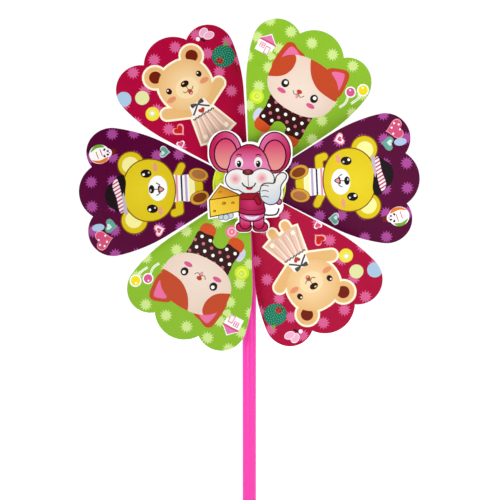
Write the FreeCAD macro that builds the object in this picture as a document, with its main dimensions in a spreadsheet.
"""Pinwheel: six sloped plastic petals in a round hub, which turns on a pin at the top of a stick.

Millimetres. The origin is the centre of the stick's lower end, +Z runs up the stick, and the
wheel faces -Y. Every size comes from the sheet "Sizes".
"""
import FreeCAD, Part
import math
import os
import re

import Sketcher

os.makedirs("parts", exist_ok=True)
doc = FreeCAD.newDocument("Pinwheel")
Vector = FreeCAD.Vector
Rotation = FreeCAD.Rotation
Placement = FreeCAD.Placement

# ---------------------------------------------------------------------------------------------
# Driving dimensions
# ---------------------------------------------------------------------------------------------

SIZES = {
    # stick
    "tube_diameter": 10.0,
    "tube_wall": 1.0,
    "tube_length": 266.0,
    "tube_chamfer": 0.3,
    "axle_height": 280.0,
    "head_shank": 14.0,
    "head_diameter": 11.0,
    "head_top": 292.0,
    "head_rounding": 3.0,
    "shank_clearance": 0.05,
    "saddle_clearance": 0.02,
    # axle, with distances counted forward from the stick's axis
    "pin_diameter": 3.0,
    "pin_clearance": 0.06,
    "pin_back": 8.0,
    "pin_head_diameter": 7.2,
    "pin_head_thickness": 1.3,
    "pin_head_rounding": 0.9,
    "washer_diameter": 8.4,
    "washer_thickness": 0.5,
    "end_play": 0.3,
    "spacer_diameter": 7.6,
    "cap_diameter": 9.0,
    "cap_back": 10.0,
    "cap_rounding": 1.8,
    "wheel_offset": 20.0,
    # wheel
    "wheel_turn": 2.4,
    "petal_count": 6,
    "petal_pitch": 12.0,
    "sheet_thickness": 0.4,
    "camber_radius": 450.0,
    "strip_half_width": 50.0,
    "blank_margin": 5.0,
    "petal_tip": 120.4,
    "petal_root": 7.5,
    "petal_edge_angle": 29.8,
    "flank_radius": 112.0,
    "side_lobe_out": 96.8,
    "side_lobe_across": 28.9,
    "side_lobe_radius": 17.8,
    "tip_lobe_radius": 21.8,
    # hub, with distances counted from the middle of the petals
    "seat_circle": 18.4,
    "seat_radius": 5.2,
    "seat_clearance": 0.05,
    "peg_radius": 2.0,
    "peg_hole_radius": 2.15,
    "socket_radius": 2.05,
    "peg_top": 4.4,
    "socket_top": 4.6,
    "locator_circle": 11.2,
    "locator_radius": 1.0,
    "locator_hole_radius": 1.15,
    "locator_top": 2.2,
    "hub_half_gap": 3.4,
    "disc_thickness": 1.6,
    "front_disc_radius": 25.8,
    "rear_disc_radius": 24.6,
    "rim_width": 1.6,
    "rim_rise": 0.9,
    "rim_rounding": 0.7,
    "boss_rise": 1.3,
    "boss_rounding": 0.9,
    "bearing_radius": 4.0,
    "bearing_front": 4.6,
    "collar_radius": 6.0,
    "collar_rise": 0.6,
    "cup_bore_radius": 5.0,
    "cup_outer_radius": 7.0,
    "cup_front": 7.7,
    # badge
    "badge_back": 8.0,
    "badge_thickness": 0.6,
    "foam_inner_radius": 7.2,
    "foam_outer_radius": 12.6,
}

# The badge's die line is the outside of these round-ended bars. Each has the ends of its middle
# line, right of and above the axle, and its radius. The animal's face is up, its tail is right.
BADGE_BARS = {
    "ear_left": (-16.8, 20.8, -16.8, 25.8, 12.4),
    "ear_right": (17.8, 20.2, 17.8, 25.2, 12.5),
    "head": (0.0, 14.6, 0.4, 16.2, 14.0),
    "muzzle": (-8.6, 3.0, 9.4, 3.0, 9.4),
    "body": (1.6, -9.0, 1.6, -20.0, 10.4),
    "foot_left": (-5.4, -29.0, -2.0, -29.0, 4.8),
    "foot_right": (5.4, -28.8, 9.4, -28.8, 4.8),
    "paw_left": (-10.0, -18.0, -17.4, -21.4, 4.9),
    "paw_right": (13.8, -6.4, 14.6, -6.0, 9.1),
    "thumb": (20.0, 0.0, 22.6, 5.2, 4.8),
    "sleeve": (8.0, -14.0, 16.4, -14.6, 7.6),
    "tail": (9.0, -21.0, 18.4, -20.4, 2.6),
}
BAR_KEYS = ("from_x", "from_y", "to_x", "to_y", "radius")
for bar_name, bar_sizes in BADGE_BARS.items():
    for key, number in zip(BAR_KEYS, bar_sizes):
        SIZES[f"{bar_name}_{key}"] = number

# The wedge of cheese in the badge's die line: its corners, right of and above the axle.
CHEESE_CORNERS = ((-28.9, -24.4), (-6.0, -20.2), (-5.0, -5.6), (-20.4, 1.2), (-29.6, -10.8))
for corner, (across, up) in enumerate(CHEESE_CORNERS, start=1):
    SIZES[f"cheese_x_{corner}"] = across
    SIZES[f"cheese_y_{corner}"] = up

sheet = doc.addObject("Spreadsheet::Sheet", "Sizes")
for row, (alias, number) in enumerate(SIZES.items(), start=1):
    sheet.set(f"A{row}", alias)
    sheet.set(f"B{row}", str(number))
    sheet.setAlias(f"B{row}", alias)
doc.recompute()

# ---------------------------------------------------------------------------------------------
# Helpers: expressions, bodies and constrained sketches
# ---------------------------------------------------------------------------------------------


def sized(text):
    """An expression in the sheet's words, with the sheet's name put before each of them."""
    return re.sub(r"[a-z]\w*", lambda word: f"Sizes.{word[0]}" if word[0] in SIZES else word[0], text)


def worth(text):
    """The number an expression stands for."""
    return float(sheet.evalExpression(sized(text)))


def bind(thing, target, text):
    """Ties one property of a document object to an expression."""
    thing.setExpression(target, sized(text))


def new_body(label):
    """An empty body whose label names the piece."""
    body = doc.addObject("PartDesign::Body", label)
    body.Label = label
    return body


def origin_feature(body, role):
    """A body's own origin plane or axis."""
    return next(feature for feature in body.Origin.OriginFeatures if feature.Role == role)


def new_sketch(body, name, plane="XY_Plane", lift="0"):
    """A sketch on one of the body's origin planes, lifted along the plane's normal."""
    sketch = body.newObject("Sketcher::SketchObject", f"{body.Label}_{name}")
    sketch.AttachmentSupport = [(origin_feature(body, plane), "")]
    sketch.MapMode = "FlatFace"
    bind(sketch, "AttachmentOffset.Base.z", lift)
    return sketch


def measure(sketch, kind, *where, size):
    """A driving constraint of the sketch, tied to an expression."""
    index = sketch.addConstraint(Sketcher.Constraint(kind, *where, worth(size)))
    bind(sketch, f"Constraints[{index}]", size)


def fix_point(sketch, geometry, position, across, up):
    """Places one point of a sketch by its two distances from the sketch's origin."""
    if across == "0" and up == "0":
        sketch.addConstraint(Sketcher.Constraint("Coincident", geometry, position, -1, 1))
        return
    if across == "0":
        sketch.addConstraint(Sketcher.Constraint("PointOnObject", geometry, position, -2))
    else:
        measure(sketch, "DistanceX", -1, 1, geometry, position, size=across)
    if up == "0":
        sketch.addConstraint(Sketcher.Constraint("PointOnObject", geometry, position, -1))
    else:
        measure(sketch, "DistanceY", -1, 1, geometry, position, size=up)


def add_circle(sketch, radius, across="0", up="0"):
    """A circle with a bound radius and centre."""
    centre = Vector(worth(across), worth(up), 0)
    circle = sketch.addGeometry(Part.Circle(centre, Vector(0, 0, 1), worth(radius)), False)
    fix_point(sketch, circle, 3, across, up)
    measure(sketch, "Radius", circle, size=radius)


def add_polygon(sketch, corners):
    """A closed outline of straight lines through bound corners."""
    places = [Vector(worth(across), worth(up), 0) for across, up in corners]
    first = sketch.GeometryCount
    for place, following in zip(places, places[1:] + places[:1]):
        sketch.addGeometry(Part.LineSegment(place, following), False)
    for step, (across, up) in enumerate(corners):
        line = first + step
        before = first + (step - 1) % len(corners)
        sketch.addConstraint(Sketcher.Constraint("Coincident", before, 2, line, 1))
        fix_point(sketch, line, 1, across, up)


def pad(body, sketch, length, downward=False):
    """Material from the sketch's plane along its normal, or against it."""
    feature = body.newObject("PartDesign::Pad", f"{sketch.Name}_pad")
    feature.Profile = sketch
    bind(feature, "Length", length)
    feature.Reversed = downward
    return feature


def pocket_through(body, sketch):
    """A cut through everything, to both sides of the sketch's plane."""
    feature = body.newObject("PartDesign::Pocket", f"{sketch.Name}_cut")
    feature.Profile = sketch
    feature.Type = "ThroughAll"
    feature.Midplane = True
    return feature


def turned(body, name, corners):
    """A turned solid: a profile of (radius, distance along the axis) about the body's Z axis."""
    sketch = new_sketch(body, name, "XZ_Plane")
    add_polygon(sketch, corners)
    feature = body.newObject("PartDesign::Revolution", f"{sketch.Name}_turn")
    feature.Profile = sketch
    feature.ReferenceAxis = (sketch, ["V_Axis"])
    feature.Angle = 360.0
    return feature


def around_axle(body, *features):
    """Repeats features once for each petal about the body's Z axis."""
    pattern = body.newObject("PartDesign::PolarPattern", f"{features[0].Name}_ring")
    pattern.Originals = list(features)
    pattern.Axis = (origin_feature(body, "Z_Axis"), [""])
    pattern.Angle = 360.0
    bind(pattern, "Occurrences", "petal_count")
    body.Tip = pattern
    return pattern


def circular_edges(shape, radius, along):
    """Names of a shape's circular edges of one radius at one distance along Z."""
    names = []
    for number, edge in enumerate(shape.Edges, start=1):
        if not isinstance(edge.Curve, Part.Circle):
            continue
        same_radius = abs(edge.Curve.Radius - radius) < 1e-4
        same_plane = abs(edge.Curve.Center.z - along) < 1e-4
        if same_radius and same_plane:
            names.append(f"Edge{number}")
    return names


def soften(body, kind, amount, rings):
    """Rounds or chamfers the circular edges at each (radius, distance) of the body's last feature."""
    doc.recompute()
    base = body.Tip
    names = []
    for radius, along in rings:
        names += circular_edges(base.Shape, worth(radius), worth(along))
    feature = body.newObject(f"PartDesign::{kind}", f"{body.Label}_{kind.lower()}")
    feature.Base = (base, names)
    bind(feature, "Radius" if kind == "Fillet" else "Size", amount)
    return feature


# Two frames serve the pieces round the axle: local X is right, local Y is up and local Z points
# at whoever faces the wheel. The axle frame starts on the stick's axis, the wheel frame at the
# middle of the petals.
FACING = Rotation(Vector(1, 0, 0), 90)


def stand_on_axle(body):
    """Puts a piece of the stick in the axle frame."""
    body.Placement = Placement(Vector(0, 0, worth("axle_height")), FACING)
    bind(body, "Placement.Base.z", "axle_height")


def stand_in_wheel(body, turn, pitch=0.0):
    """Puts a piece of the wheel in the wheel frame, turned about the axle and then pitched."""
    spin = Rotation(Vector(0, 0, 1), turn)
    lean = Rotation(Vector(1, 0, 0), pitch)
    centre = Vector(0, -worth("wheel_offset"), worth("axle_height"))
    body.Placement = Placement(centre, FACING * spin * lean)
    bind(body, "Placement.Base.y", "-wheel_offset")
    bind(body, "Placement.Base.z", "axle_height")


# ---------------------------------------------------------------------------------------------
# Stick
# ---------------------------------------------------------------------------------------------

PIN_HOLE = "pin_diameter / 2 + pin_clearance"


def stick_tube():
    """The plastic tube."""
    body = new_body("stick_tube")
    ring = new_sketch(body, "ring")
    add_circle(ring, "tube_diameter / 2")
    add_circle(ring, "tube_diameter / 2 - tube_wall")
    pad(body, ring, "tube_length")
    ends = [
        ("tube_diameter / 2", "0"),
        ("tube_diameter / 2", "tube_length"),
        ("tube_diameter / 2 - tube_wall", "0"),
    ]
    soften(body, "Chamfer", "tube_chamfer", ends)
    return body


def stick_head():
    """The moulding on the tube's top: a shank inside the tube, and a thicker part with the pin's hole."""
    body = new_body("stick_head")
    shank = "tube_diameter / 2 - tube_wall - shank_clearance"
    turned(body, "profile", [
        ("0", "tube_length - head_shank"),
        (shank, "tube_length - head_shank"),
        (shank, "tube_length"),
        ("head_diameter / 2", "tube_length"),
        ("head_diameter / 2", "head_top"),
        ("0", "head_top"),
    ])
    soften(body, "Fillet", "head_rounding", [("head_diameter / 2", "head_top")])
    cross = new_sketch(body, "cross_hole", "XZ_Plane")
    add_circle(cross, PIN_HOLE, up="axle_height")
    pocket_through(body, cross)
    return body


# Distances forward from the stick's axis, in the order of the pieces along the pin.
REAR_WASHER_FRONT = "(wheel_offset - hub_half_gap - disc_thickness - collar_rise - end_play)"
REAR_WASHER_BACK = f"({REAR_WASHER_FRONT} - washer_thickness)"
FRONT_WASHER_BACK = "(wheel_offset + bearing_front + end_play)"
PIN_HEAD_BACK = f"({FRONT_WASHER_BACK} + washer_thickness)"


def ring_on_pin(label, outer_radius, back, front):
    """A ring round the pin, between two distances from the stick's axis."""
    body = new_body(label)
    turned(body, "profile", [
        (PIN_HOLE, back),
        (outer_radius, back),
        (outer_radius, front),
        (PIN_HOLE, front),
    ])
    stand_on_axle(body)
    return body


def saddle(body):
    """Cuts a piece on the pin to the round side of the head, which runs along the local Y axis."""
    sketch = new_sketch(body, "saddle", "XZ_Plane")
    add_circle(sketch, "head_diameter / 2 + saddle_clearance")
    pocket_through(body, sketch)


def spacer_sleeve():
    """The sleeve that keeps the wheel clear of the stick."""
    body = ring_on_pin("spacer_sleeve", "spacer_diameter / 2", "0", REAR_WASHER_BACK)
    saddle(body)
    return body


def front_washer():
    """The washer under the pin's head."""
    return ring_on_pin("axle_washer_front", "washer_diameter / 2", FRONT_WASHER_BACK, PIN_HEAD_BACK)


def rear_washer():
    """The washer between the spacer and the hub's collar."""
    return ring_on_pin("axle_washer_rear", "washer_diameter / 2", REAR_WASHER_BACK, REAR_WASHER_FRONT)


def axle_pin():
    """The headed pin that the wheel turns on."""
    body = new_body("axle_pin")
    head_front = f"({PIN_HEAD_BACK} + pin_head_thickness)"
    turned(body, "profile", [
        ("0", "-pin_back"),
        ("pin_diameter / 2", "-pin_back"),
        ("pin_diameter / 2", PIN_HEAD_BACK),
        ("pin_head_diameter / 2", PIN_HEAD_BACK),
        ("pin_head_diameter / 2", head_front),
        ("0", head_front),
    ])
    soften(body, "Fillet", "pin_head_rounding", [("pin_head_diameter / 2", head_front)])
    stand_on_axle(body)
    return body


def rear_cap():
    """The cap pushed on the pin's tail, against the back of the head."""
    body = new_body("rear_cap")
    bore = "pin_diameter / 2"
    turned(body, "profile", [
        (bore, "0"),
        ("cap_diameter / 2", "0"),
        ("cap_diameter / 2", "-cap_back"),
        ("0", "-cap_back"),
        ("0", "-pin_back"),
        (bore, "-pin_back"),
    ])
    soften(body, "Fillet", "cap_rounding", [("cap_diameter / 2", "-cap_back")])
    saddle(body)
    stand_on_axle(body)
    return body


# ---------------------------------------------------------------------------------------------
# Petals
# ---------------------------------------------------------------------------------------------

PETAL_LABELS = (
    "petal_1_purple",
    "petal_2_green",
    "petal_3_crimson",
    "petal_4_purple",
    "petal_5_green",
    "petal_6_crimson",
)


def cambered_strip(body):
    """A strip of sheet along local X, curved across its width, with its middle line on the axis."""
    sketch = new_sketch(body, "camber", "YZ_Plane")
    bend = worth("camber_radius")
    half_width = worth("strip_half_width")
    centre = Vector(0, -bend, 0)
    arcs = []
    for side in (1, -1):
        radius = bend + side * worth("sheet_thickness") / 2
        half_angle = math.asin(half_width / radius)
        circle = Part.Circle(centre, Vector(0, 0, 1), radius)
        arc = Part.ArcOfCircle(circle, math.pi / 2 - half_angle, math.pi / 2 + half_angle)
        arcs.append(sketch.addGeometry(arc, False))
    outer, inner = arcs
    for position, side in ((1, 1), (2, -1)):
        ends = [sketch.getPoint(arc, position) for arc in arcs]
        edge = sketch.addGeometry(Part.LineSegment(*ends), False)
        sketch.addConstraint(Sketcher.Constraint("Coincident", edge, 1, outer, position))
        sketch.addConstraint(Sketcher.Constraint("Coincident", edge, 2, inner, position))
        sketch.addConstraint(Sketcher.Constraint("Vertical", edge))
        measure(sketch, "DistanceX", -1, 1, edge, 1, size=f"{side} * strip_half_width")
    for arc in arcs:
        fix_point(sketch, arc, 3, "0", "-camber_radius")
    measure(sketch, "Radius", outer, size="camber_radius + sheet_thickness / 2")
    measure(sketch, "Radius", inner, size="camber_radius - sheet_thickness / 2")
    pad(body, sketch, "petal_tip + blank_margin")


def petal_outline(sketch):
    """The die line: straight sides, long flanks, two side lobes and a tip lobe, closed at the root.

    It is drawn anticlockwise. The straight sides lie on radial lines through the axle, each flank
    arc is tangent to its side and to its side lobe, and the tip lobe meets the side lobes in notches.
    """
    slope = math.radians(worth("petal_edge_angle"))
    root = worth("petal_root")
    flank = worth("flank_radius")
    lobe = worth("side_lobe_radius")
    tip = worth("tip_lobe_radius")
    lobe_centre = Vector(worth("side_lobe_out"), worth("side_lobe_across"), 0)
    tip_centre = Vector(worth("petal_tip") - tip, 0, 0)
    along = Vector(math.cos(slope), math.sin(slope), 0)
    inward = Vector(math.sin(slope), -math.cos(slope), 0)
    lobe_depth = lobe_centre.dot(inward)
    reach = lobe_centre.dot(along) - math.sqrt((flank - lobe) ** 2 - (flank - lobe_depth) ** 2)
    flank_start = along * reach
    flank_centre = flank_start + inward * flank
    toward_lobe = lobe_centre - flank_centre
    lobe_start = lobe_centre + toward_lobe * (lobe / toward_lobe.Length)
    between = lobe_centre - tip_centre
    middle = (tip ** 2 - lobe ** 2 + between.Length ** 2) / (2 * between.Length)
    rise = math.sqrt(tip ** 2 - middle ** 2)
    unit = between * (1 / between.Length)
    notch = tip_centre + unit * middle + Vector(unit.y, -unit.x, 0) * rise

    def low(point):
        return Vector(point.x, -point.y, 0)

    def arc(centre, radius, start, end):
        first = math.atan2(start.y - centre.y, start.x - centre.x)
        last = math.atan2(end.y - centre.y, end.x - centre.x)
        circle = Part.Circle(centre, Vector(0, 0, 1), radius)
        return sketch.addGeometry(Part.ArcOfCircle(circle, first, last), False)

    origin = Vector(0, 0, 0)
    corner = along * root
    low_side = sketch.addGeometry(Part.LineSegment(low(corner), low(flank_start)), False)
    low_flank = arc(low(flank_centre), flank, low(flank_start), low(lobe_start))
    low_lobe = arc(low(lobe_centre), lobe, low(lobe_start), low(notch))
    tip_lobe = arc(tip_centre, tip, low(notch), notch)
    high_lobe = arc(lobe_centre, lobe, notch, lobe_start)
    high_flank = arc(flank_centre, flank, lobe_start, flank_start)
    high_side = sketch.addGeometry(Part.LineSegment(flank_start, corner), False)
    root_arc = arc(origin, root, low(corner), corner)

    for before, after in ((low_side, low_flank), (low_flank, low_lobe),
                          (high_lobe, high_flank), (high_flank, high_side)):
        sketch.addConstraint(Sketcher.Constraint("Tangent", before, 2, after, 1))
    for before, after in ((low_lobe, tip_lobe), (tip_lobe, high_lobe)):
        sketch.addConstraint(Sketcher.Constraint("Coincident", before, 2, after, 1))
    sketch.addConstraint(Sketcher.Constraint("Coincident", high_side, 2, root_arc, 2))
    sketch.addConstraint(Sketcher.Constraint("Coincident", low_side, 1, root_arc, 1))
    for side in (low_side, high_side):
        sketch.addConstraint(Sketcher.Constraint("PointOnObject", -1, 1, side))
    fix_point(sketch, root_arc, 3, "0", "0")
    fix_point(sketch, tip_lobe, 3, "petal_tip - tip_lobe_radius", "0")
    fix_point(sketch, high_lobe, 3, "side_lobe_out", "side_lobe_across")
    fix_point(sketch, low_lobe, 3, "side_lobe_out", "-side_lobe_across")
    measure(sketch, "DistanceY", -1, 1, high_side, 2, size="petal_root * sin(petal_edge_angle)")
    measure(sketch, "DistanceY", -1, 1, low_side, 1, size="-petal_root * sin(petal_edge_angle)")
    for geometry, radius in (
        (root_arc, "petal_root"),
        (tip_lobe, "tip_lobe_radius"),
        (high_lobe, "side_lobe_radius"),
        (low_lobe, "side_lobe_radius"),
        (high_flank, "flank_radius"),
        (low_flank, "flank_radius"),
    ):
        measure(sketch, "Radius", geometry, size=radius)


def petal(number, label):
    """One petal: a cambered strip die-cut to its outline, with its two holes punched."""
    body = new_body(label)
    cambered_strip(body)
    die = new_sketch(body, "die_line")
    add_polygon(die, [
        ("-blank_margin", "-strip_half_width - blank_margin"),
        ("petal_tip + 2 * blank_margin", "-strip_half_width - blank_margin"),
        ("petal_tip + 2 * blank_margin", "strip_half_width + blank_margin"),
        ("-blank_margin", "strip_half_width + blank_margin"),
    ])
    petal_outline(die)
    pocket_through(body, die)
    punch = new_sketch(body, "punch")
    add_circle(punch, "peg_hole_radius", "seat_circle")
    add_circle(punch, "locator_hole_radius", "locator_circle")
    pocket_through(body, punch)
    step = 360.0 / worth("petal_count")
    stand_in_wheel(body, worth("wheel_turn") + step * number, worth("petal_pitch"))
    return body


# ---------------------------------------------------------------------------------------------
# Hub
# ---------------------------------------------------------------------------------------------


def seat_plane(body, side):
    """The sloped plane of one face of the first petal, in front of it or behind it."""
    plane = body.newObject("PartDesign::Plane", f"{body.Label}_seat_plane")
    plane.AttachmentSupport = [(origin_feature(body, "XY_Plane"), "")]
    plane.MapMode = "FlatFace"
    away = f"{side} * (sheet_thickness / 2 + seat_clearance)"
    plane.AttachmentOffset = Placement(Vector(0, 0, 0), Rotation(Vector(1, 0, 0), worth("petal_pitch")))
    bind(plane, "AttachmentOffset.Rotation.Angle", "petal_pitch")
    bind(plane, "AttachmentOffset.Base.y", f"-({away}) * sin(petal_pitch)")
    bind(plane, "AttachmentOffset.Base.z", f"({away}) * cos(petal_pitch)")
    return plane


def seats(body, disc_face, side):
    """Round seats from a hub disc's inner face to the sloped petals, one for each petal."""
    sketch = new_sketch(body, "seat", lift=disc_face)
    add_circle(sketch, "seat_radius", "seat_circle")
    seat = body.newObject("PartDesign::Pad", f"{body.Label}_seat_pad")
    seat.Profile = sketch
    seat.Type = "UpToFace"
    seat.UpToFace = (seat_plane(body, side), [""])
    return seat


def hub_rear():
    """The rear disc: bearing tube, collar, seats, pegs and locating pins in one moulding."""
    body = new_body("hub_rear")
    inner_face = "-hub_half_gap"
    outer_face = "(-hub_half_gap - disc_thickness)"
    collar_face = f"({outer_face} - collar_rise)"
    turned(body, "profile", [
        (PIN_HOLE, collar_face),
        ("collar_radius", collar_face),
        ("collar_radius", outer_face),
        ("rear_disc_radius - rim_width", outer_face),
        ("rear_disc_radius - rim_width", f"{outer_face} - rim_rise"),
        ("rear_disc_radius", f"{outer_face} - rim_rise"),
        ("rear_disc_radius", inner_face),
        ("bearing_radius", inner_face),
        ("bearing_radius", "bearing_front"),
        (PIN_HOLE, "bearing_front"),
    ])
    seat = seats(body, inner_face, -1)
    around_axle(body, seat)
    peg_sketch = new_sketch(body, "peg", lift=inner_face)
    add_circle(peg_sketch, "peg_radius", "seat_circle")
    peg = pad(body, peg_sketch, f"peg_top - ({inner_face})")
    around_axle(body, peg)
    locator_sketch = new_sketch(body, "locator", lift=inner_face)
    add_circle(locator_sketch, "locator_radius", "locator_circle")
    locator = pad(body, locator_sketch, f"locator_top - ({inner_face})")
    around_axle(body, locator)
    stand_in_wheel(body, worth("wheel_turn"))
    return body


def hub_front():
    """The front disc: rounded rim, six bosses, a cup round the pin's head, seats and sockets."""
    body = new_body("hub_front")
    inner_face = "hub_half_gap"
    outer_face = "(hub_half_gap + disc_thickness)"
    rim_face = f"({outer_face} + rim_rise)"
    boss_face = f"({outer_face} + boss_rise)"
    turned(body, "profile", [
        ("bearing_radius + pin_clearance", inner_face),
        ("front_disc_radius", inner_face),
        ("front_disc_radius", rim_face),
        ("front_disc_radius - rim_width", rim_face),
        ("front_disc_radius - rim_width", outer_face),
        ("cup_outer_radius", outer_face),
        ("cup_outer_radius", "cup_front"),
        ("cup_bore_radius", "cup_front"),
        ("cup_bore_radius", "bearing_front"),
        ("bearing_radius + pin_clearance", "bearing_front"),
    ])
    rounding = [("front_disc_radius", rim_face), ("front_disc_radius - rim_width", rim_face)]
    soften(body, "Fillet", "rim_rounding", rounding)
    seat = seats(body, inner_face, 1)
    seat.Reversed = True
    around_axle(body, seat)
    boss_sketch = new_sketch(body, "boss", lift=outer_face)
    add_circle(boss_sketch, "seat_radius", "seat_circle")
    boss = pad(body, boss_sketch, "boss_rise")
    around_axle(body, boss)
    soften(body, "Fillet", "boss_rounding", [("seat_radius", boss_face)])
    socket_sketch = new_sketch(body, "socket", lift="socket_top")
    add_circle(socket_sketch, "socket_radius", "seat_circle")
    socket = body.newObject("PartDesign::Pocket", "hub_front_socket_cut")
    socket.Profile = socket_sketch
    bind(socket, "Length", "socket_top + seat_radius")
    around_axle(body, socket)
    stand_in_wheel(body, worth("wheel_turn"))
    return body


# ---------------------------------------------------------------------------------------------
# Badge
# ---------------------------------------------------------------------------------------------


def foam_ring():
    """The ring of double-sided foam between the front disc and the badge."""
    body = new_body("badge_foam_ring")
    front_face = "hub_half_gap + disc_thickness"
    turned(body, "profile", [
        ("foam_inner_radius", front_face),
        ("foam_outer_radius", front_face),
        ("foam_outer_radius", "badge_back"),
        ("foam_inner_radius", "badge_back"),
    ])
    stand_in_wheel(body, 0.0)
    return body


def add_bar(sketch, name):
    """A round-ended bar: two half circles joined by two tangent lines."""
    start = Vector(worth(f"{name}_from_x"), worth(f"{name}_from_y"), 0)
    end = Vector(worth(f"{name}_to_x"), worth(f"{name}_to_y"), 0)
    radius = worth(f"{name}_radius")
    heading = math.atan2(end.y - start.y, end.x - start.x)
    right = Vector(math.sin(heading), -math.cos(heading), 0) * radius
    far = Part.ArcOfCircle(Part.Circle(end, Vector(0, 0, 1), radius),
                           heading - math.pi / 2, heading + math.pi / 2)
    near = Part.ArcOfCircle(Part.Circle(start, Vector(0, 0, 1), radius),
                            heading + math.pi / 2, heading + 3 * math.pi / 2)
    right_line = sketch.addGeometry(Part.LineSegment(start + right, end + right), False)
    far_arc = sketch.addGeometry(far, False)
    left_line = sketch.addGeometry(Part.LineSegment(end - right, start - right), False)
    near_arc = sketch.addGeometry(near, False)
    loop = (right_line, far_arc, left_line, near_arc)
    for before, after in zip(loop, loop[1:] + loop[:1]):
        sketch.addConstraint(Sketcher.Constraint("Tangent", before, 2, after, 1))
    fix_point(sketch, far_arc, 3, f"{name}_to_x", f"{name}_to_y")
    fix_point(sketch, near_arc, 3, f"{name}_from_x", f"{name}_from_y")
    measure(sketch, "Radius", far_arc, size=f"{name}_radius")


def badge():
    """The die-cut card in front of the hub: an animal that holds a wedge of cheese."""
    body = new_body("badge")
    for name in BADGE_BARS:
        sketch = new_sketch(body, name, lift="badge_back")
        add_bar(sketch, name)
        pad(body, sketch, "badge_thickness")
    wedge = new_sketch(body, "cheese", lift="badge_back")
    count = len(CHEESE_CORNERS)
    add_polygon(wedge, [(f"cheese_x_{corner}", f"cheese_y_{corner}") for corner in range(1, count + 1)])
    pad(body, wedge, "badge_thickness")
    stand_in_wheel(body, 0.0)
    return body


# ---------------------------------------------------------------------------------------------
# The whole pinwheel
# ---------------------------------------------------------------------------------------------

pieces = [
    stick_tube(),
    stick_head(),
    axle_pin(),
    front_washer(),
    rear_washer(),
    spacer_sleeve(),
    rear_cap(),
    hub_rear(),
    hub_front(),
    foam_ring(),
    badge(),
]
pieces += [petal(number, label) for number, label in enumerate(PETAL_LABELS)]
doc.recompute()

for item in doc.Objects:
    faults = [state for state in item.State if state in ("Invalid", "Error")]
    if faults:
        raise RuntimeError(f"{item.Label} did not recompute: {faults}")
for piece in pieces:
    if piece.Shape.isNull() or not piece.Shape.isValid():
        raise RuntimeError(f"{piece.Label} has no valid shape")
for piece in pieces:
    box = piece.Shape.BoundBox
    print(f"{piece.Label:20s} volume {piece.Shape.Volume:9.1f} solids {len(piece.Shape.Solids)}"
          f" x {box.XMin:7.2f} {box.XMax:7.2f} y {box.YMin:7.2f} {box.YMax:7.2f}"
          f" z {box.ZMin:7.2f} {box.ZMax:7.2f}")
    piece.Shape.exportStep(f"parts/{piece.Label}.step")
